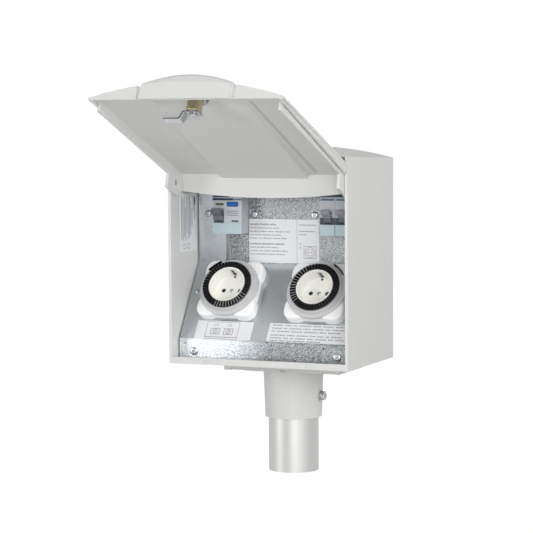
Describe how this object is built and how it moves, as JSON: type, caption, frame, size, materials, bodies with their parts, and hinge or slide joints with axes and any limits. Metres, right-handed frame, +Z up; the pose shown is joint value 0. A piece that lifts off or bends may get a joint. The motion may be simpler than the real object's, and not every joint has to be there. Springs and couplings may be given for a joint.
{
  "type": "garden socket post",
  "caption": "Outdoor socket post: a round tube carrying a lidded housing with plug-in timer sockets, breakers and a residual-current switch on a sloped plate.",
  "frame": {"origin": "centre of the tube's foot, on the tube's axis", "axes": "+Z up along the tube, the lid opens towards -Y, +X to the right as seen from the front"},
  "size_m": [0.21, 0.313, 0.4291],
  "materials": {
    "grey_shell": "light warm grey moulding with a fine satin texture",
    "tube_aluminium": "satin drawn tube",
    "zinc_steel": "zinc-plated",
    "black_rubber": "matt",
    "brass": "machined",
    "galvanised": "spangled zinc sheet",
    "white_gear": "satin",
    "grey_toggle": "satin",
    "slate_toggle": "satin",
    "blue_button": "satin",
    "teal_window": "glossy strip under a clear cover",
    "white_timer": "satin",
    "grey_drum": "smoky translucent",
    "black_dial": "satin",
    "cream_socket": "satin",
    "label_white": "printed film"
  },
  "bodies": {
    "post": {"post_tube": "tube_aluminium", "post_collar": "grey_shell", "collar_flange": "grey_shell", "clamp_screw": "zinc_steel", "clamp_washer": "zinc_steel", "flange_gasket": "black_rubber", "flange_screws": "zinc_steel", "cable_grommet": "black_rubber", "housing": "grey_shell", "equipment_plate": "galvanised", "plate_screws": "zinc_steel", "din_rail": "galvanised", "rail_screws": "zinc_steel", "terminal_block": "white_gear", "earth_bar": "brass", "rcd_body": "white_gear", "rcd_window": "teal_window", "left_breaker_body": "white_gear", "left_breaker_window": "teal_window", "right_breaker_body": "white_gear", "right_breaker_window": "teal_window", "left_timer_base": "white_timer", "left_timer_drum": "grey_drum", "left_socket": "cream_socket", "left_earth_clips": "zinc_steel", "left_timer_rear": "white_timer", "right_timer_base": "white_timer", "right_timer_drum": "grey_drum", "right_socket": "cream_socket", "right_earth_clips": "zinc_steel", "right_timer_rear": "white_timer", "rating_label": "label_white", "panel_label": "label_white", "socket_label": "label_white", "diagram_label": "label_white", "notice_label": "label_white"},
    "lid": {"lid": "grey_shell", "hinge_pins": "zinc_steel", "lock_barrel": "brass", "lock_nut": "zinc_steel"},
    "lock": {"lock_plug": "zinc_steel", "lock_cam": "zinc_steel", "cam_screw": "zinc_steel"},
    "residual_toggle": {"rcd_toggle": "grey_toggle"},
    "test_button": {"rcd_test_button": "blue_button"},
    "left_breaker_lever": {"left_breaker_toggle": "slate_toggle"},
    "right_breaker_lever": {"right_breaker_toggle": "slate_toggle"},
    "left_dial": {"left_timer_dial": "black_dial", "left_timer_tabs": "black_dial"},
    "right_dial": {"right_timer_dial": "black_dial", "right_timer_tabs": "black_dial"},
    "left_override_lever": {"left_override": "black_dial"},
    "right_override_lever": {"right_override": "black_dial"}
  },
  "joints": [
    {"name": "lid_hinge", "type": "hinge", "parent": "post", "child": "lid", "pos_m": [0, -0.093, 0.318], "axis": [1, 0, 0], "range_deg": [0, 114]},
    {"name": "lock_turn", "type": "hinge", "parent": "lid", "child": "lock", "pos_m": [-0.0065, -0.23266, 0.39769], "axis": [0, -0.4067, -0.9135], "range_deg": [-90, 0]},
    {"name": "residual_switch", "type": "hinge", "parent": "post", "child": "residual_toggle", "pos_m": [-0.06586, -0.046, 0.28], "axis": [1, 0, 0], "range_deg": [0, 56]},
    {"name": "test_press", "type": "slide", "parent": "post", "child": "test_button", "axis": [0, 1, 0], "range_m": [0, 0.001], "stiffness_N_per_m": 300},
    {"name": "left_breaker_switch", "type": "hinge", "parent": "post", "child": "left_breaker_lever", "pos_m": [0.06132, -0.046, 0.28], "axis": [1, 0, 0], "range_deg": [0, 56]},
    {"name": "right_breaker_switch", "type": "hinge", "parent": "post", "child": "right_breaker_lever", "pos_m": [0.07882, -0.046, 0.28], "axis": [1, 0, 0], "range_deg": [0, 56]},
    {"name": "left_dial_turn", "type": "hinge", "parent": "post", "child": "left_dial", "pos_m": [-0.04826, -0.05295, 0.1979], "axis": [0, -0.8417, 0.54], "continuous": true},
    {"name": "right_dial_turn", "type": "hinge", "parent": "post", "child": "right_dial", "pos_m": [0.05366, -0.05295, 0.1979], "axis": [0, -0.8417, 0.54], "continuous": true},
    {"name": "left_override_slide", "type": "hinge", "parent": "post", "child": "left_override_lever", "pos_m": [-0.04826, -0.05295, 0.1979], "axis": [0, -0.8417, 0.54], "range_deg": [0, 12]},
    {"name": "right_override_slide", "type": "hinge", "parent": "post", "child": "right_override_lever", "pos_m": [0.05366, -0.05295, 0.1979], "axis": [0, -0.8417, 0.54], "range_deg": [-12, 0]}
  ]
}
